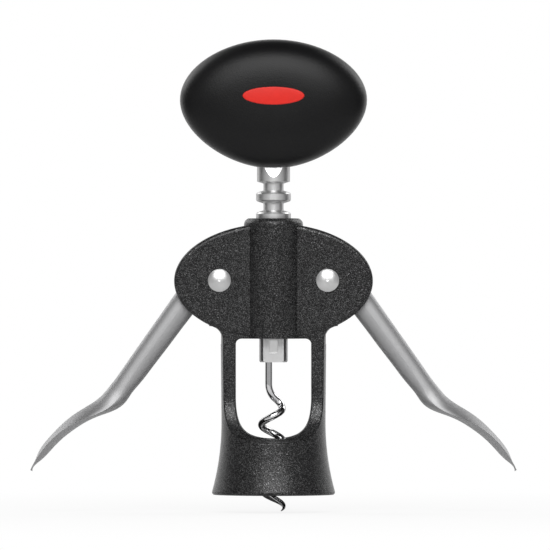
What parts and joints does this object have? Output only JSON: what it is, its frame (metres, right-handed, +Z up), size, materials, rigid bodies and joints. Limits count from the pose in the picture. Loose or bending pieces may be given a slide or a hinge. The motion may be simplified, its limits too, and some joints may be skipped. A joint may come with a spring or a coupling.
{
  "type": "winged corkscrew",
  "caption": "Winged corkscrew: a black bell casting seats on the bottle, a ringed spindle carries a wire worm and oval handle, and geared levers lift the spindle to draw the cork.",
  "frame": {"origin": "centre of the bell's rim, in the plane that sits lowest on the casting", "axes": "+Z up along the spindle, -Y the front with the badge, +X to the right seen from the front"},
  "size_m": [0.1622, 0.041, 0.1572],
  "materials": {
    "black_casting": "sand-textured matt black paint",
    "lever_satin": "satin",
    "spindle_steel": "satin",
    "rivet_steel": "satin",
    "worm_chrome": "polished",
    "soft_grip": "matt soft touch",
    "core_plastic": "moulded",
    "nylon": "moulded",
    "red_badge": "gloss"
  },
  "bodies": {
    "body": {"body_casting": "black_casting", "bottle_seat_ring": "nylon", "left_rivet_post": "rivet_steel", "left_rivet_cap": "rivet_steel", "right_rivet_post": "rivet_steel", "right_rivet_cap": "rivet_steel"},
    "guide": {"upper_guide_bush": "nylon", "lower_guide_bush": "nylon"},
    "spindle": {"rack_spindle": "spindle_steel", "worm": "worm_chrome", "handle_core": "core_plastic", "handle_grip": "soft_grip", "handle_badge": "red_badge", "handle_cross_pin": "rivet_steel"},
    "left_lever": {"left_lever": "lever_satin", "left_lever_front_bush": "nylon", "left_lever_rear_bush": "nylon"},
    "right_lever": {"right_lever": "lever_satin", "right_lever_front_bush": "nylon", "right_lever_rear_bush": "nylon"}
  },
  "joints": [
    {"name": "handle_spin", "type": "hinge", "parent": "body", "child": "guide", "pos_m": [0, 0, 0.0712], "axis": [0, 0, 1], "continuous": true},
    {"name": "spindle_slide", "type": "slide", "parent": "guide", "child": "spindle", "axis": [0, 0, 1], "range_m": [-0.0167, 0.0086]},
    {"name": "left_lever_swing", "type": "hinge", "parent": "body", "child": "left_lever", "pos_m": [-0.018, 0, 0.0714], "axis": [0, 1, 0], "range_deg": [-36.9, 71.6]},
    {"name": "right_lever_swing", "type": "hinge", "parent": "body", "child": "right_lever", "pos_m": [0.018, 0, 0.0714], "axis": [0, -1, 0], "range_deg": [-36.9, 71.6]}
  ],
  "couplings": [
    {"joint": "left_lever_swing", "follows": "spindle_slide", "rad_per_m": -74.627},
    {"joint": "right_lever_swing", "follows": "spindle_slide", "rad_per_m": -74.627}
  ]
}
